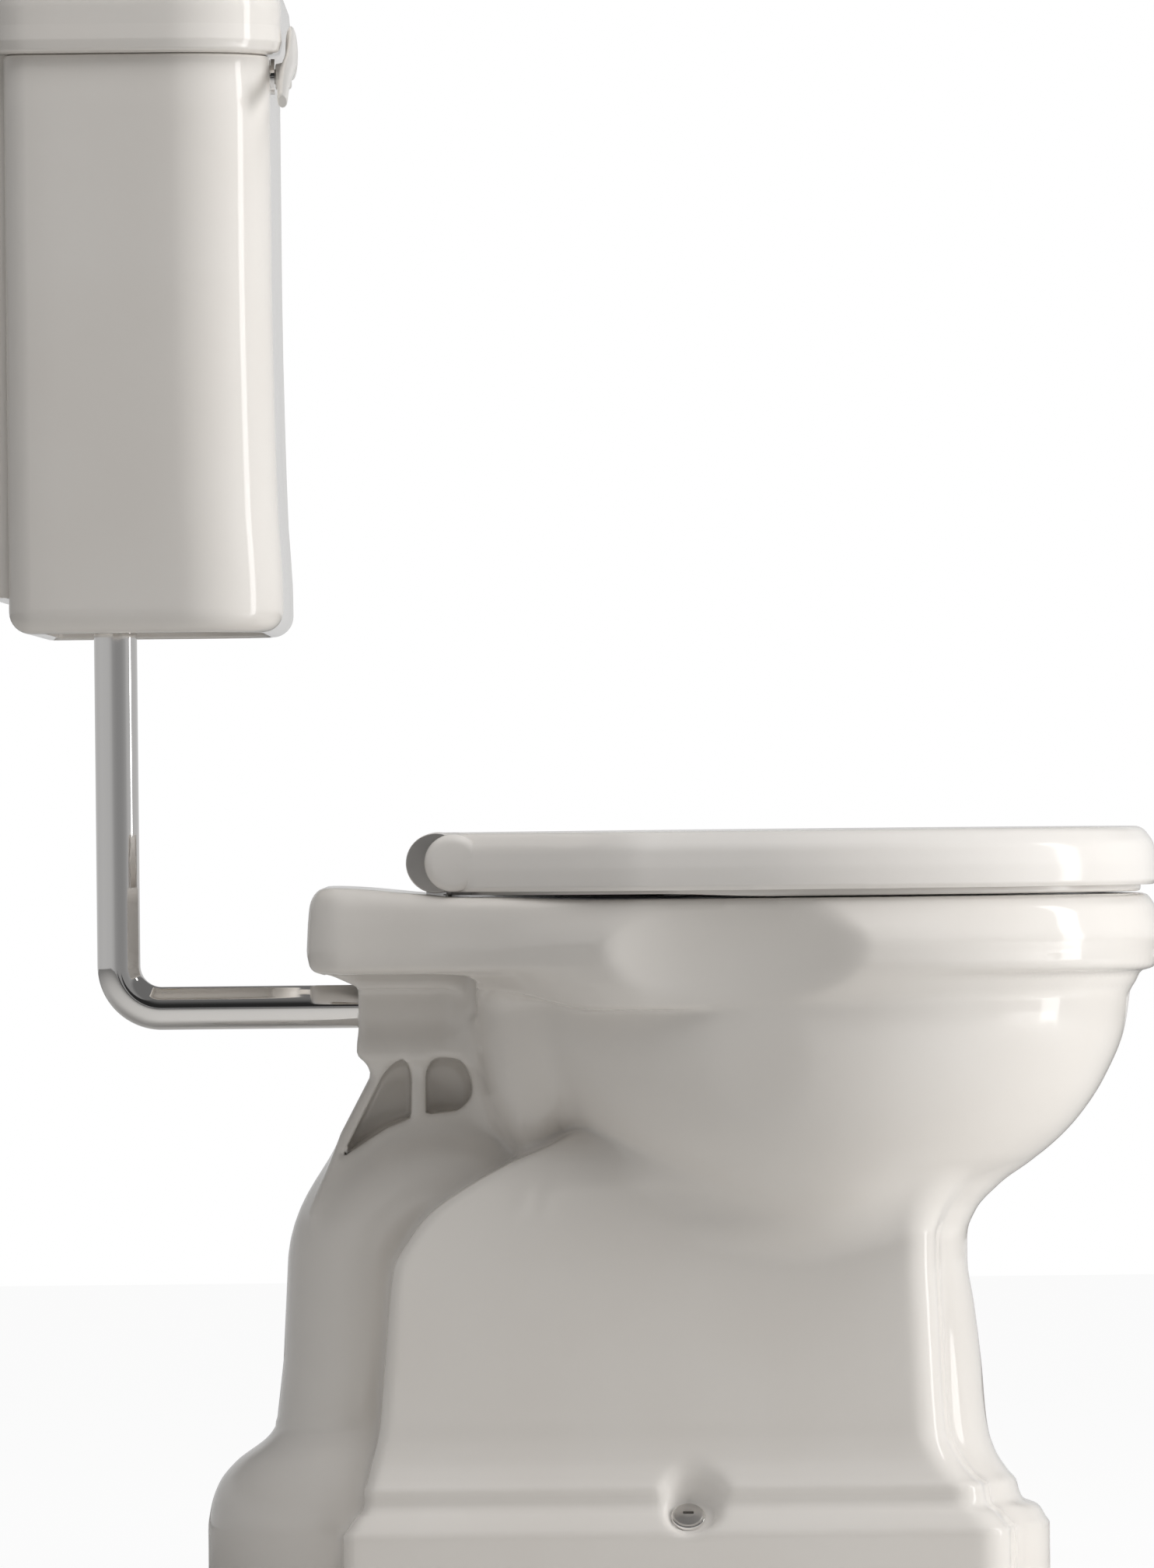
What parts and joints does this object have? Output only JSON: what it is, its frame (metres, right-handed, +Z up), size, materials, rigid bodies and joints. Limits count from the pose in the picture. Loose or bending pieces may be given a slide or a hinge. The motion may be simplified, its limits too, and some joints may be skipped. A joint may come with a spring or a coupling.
{
  "type": "low level toilet",
  "caption": "Low level toilet: shaped china pan, hinged seat and lid, chromed L flush pipe and a wall-hung china cistern with lever, siphon and float valve.",
  "frame": {"origin": "on the floor, midway between the wall face and the front of the rim, in the plane of symmetry of the pan and cistern", "axes": "+Z up, +X out from the wall towards the front of the pan, Y across"},
  "size_m": [0.704, 0.4644, 0.957],
  "materials": {
    "china": "gloss",
    "seat_white": "gloss",
    "chrome": "polished",
    "brass": "satin",
    "white_plastic": "satin",
    "rubber": "matt",
    "buffer": "matt"
  },
  "bodies": {
    "root": {"pan": "china", "cistern": "china", "flush_pipe": "chrome", "pipe_nut": "chrome", "lever_bush": "chrome", "lever_nut": "chrome", "hinge_posts": "chrome", "hinge_nuts": "chrome", "floor_screws": "chrome", "valve_nut": "brass", "screw_sleeves": "white_plastic", "siphon_body": "white_plastic", "siphon_nut": "white_plastic", "fill_valve": "white_plastic", "flush_cone": "rubber", "pipe_washer": "rubber", "siphon_washer": "rubber", "valve_washer": "rubber", "hinge_washers": "rubber"},
    "seat": {"seat_ring": "seat_white", "ring_buffers": "buffer", "hinge_pins": "chrome"},
    "lid": {"seat_lid": "seat_white", "lid_buffers": "buffer"},
    "lever": {"lever_handle": "chrome", "lever_spindle": "chrome", "lever_arm": "brass"},
    "siphon_lift": {"siphon_rod": "brass", "siphon_plate": "white_plastic", "siphon_flap": "rubber", "lift_link": "brass"},
    "float_set": {"float_arm": "brass", "float_pin": "brass", "float": "white_plastic"},
    "piston": {"valve_piston": "brass"},
    "tank_lid": {"cistern_lid": "china"}
  },
  "joints": [
    {"name": "seat_hinge", "type": "hinge", "parent": "root", "child": "seat", "pos_m": [-0.085, 0, 0.4335], "axis": [0, -1, 0], "range_deg": [0, 95]},
    {"name": "lid_hinge", "type": "hinge", "parent": "seat", "child": "lid", "pos_m": [-0.085, 0, 0.4335], "axis": [0, 1, 0], "range_deg": [-96, 0]},
    {"name": "lever_turn", "type": "hinge", "parent": "root", "child": "lever", "pos_m": [-0.178, -0.15, 0.903], "axis": [1, 0, 0], "range_deg": [0, 28]},
    {"name": "siphon_slide", "type": "slide", "parent": "root", "child": "siphon_lift", "axis": [0, 0, 1], "range_m": [0, 0.0385]},
    {"name": "float_hinge", "type": "hinge", "parent": "root", "child": "float_set", "pos_m": [-0.265, 0.146, 0.858], "axis": [-1, 0, 0], "range_deg": [0, 35]},
    {"name": "piston_slide", "type": "slide", "parent": "root", "child": "piston", "axis": [0, 0, 1], "range_m": [-0.0087, 0]},
    {"name": "tank_lid_lift", "type": "slide", "parent": "root", "child": "tank_lid", "axis": [0, 0, 1], "range_m": [0, 0.15]}
  ],
  "couplings": [
    {"joint": "siphon_slide", "follows": "lever_turn", "m_per_rad": 0.078},
    {"joint": "piston_slide", "follows": "float_hinge", "m_per_rad": -0.0141}
  ]
}
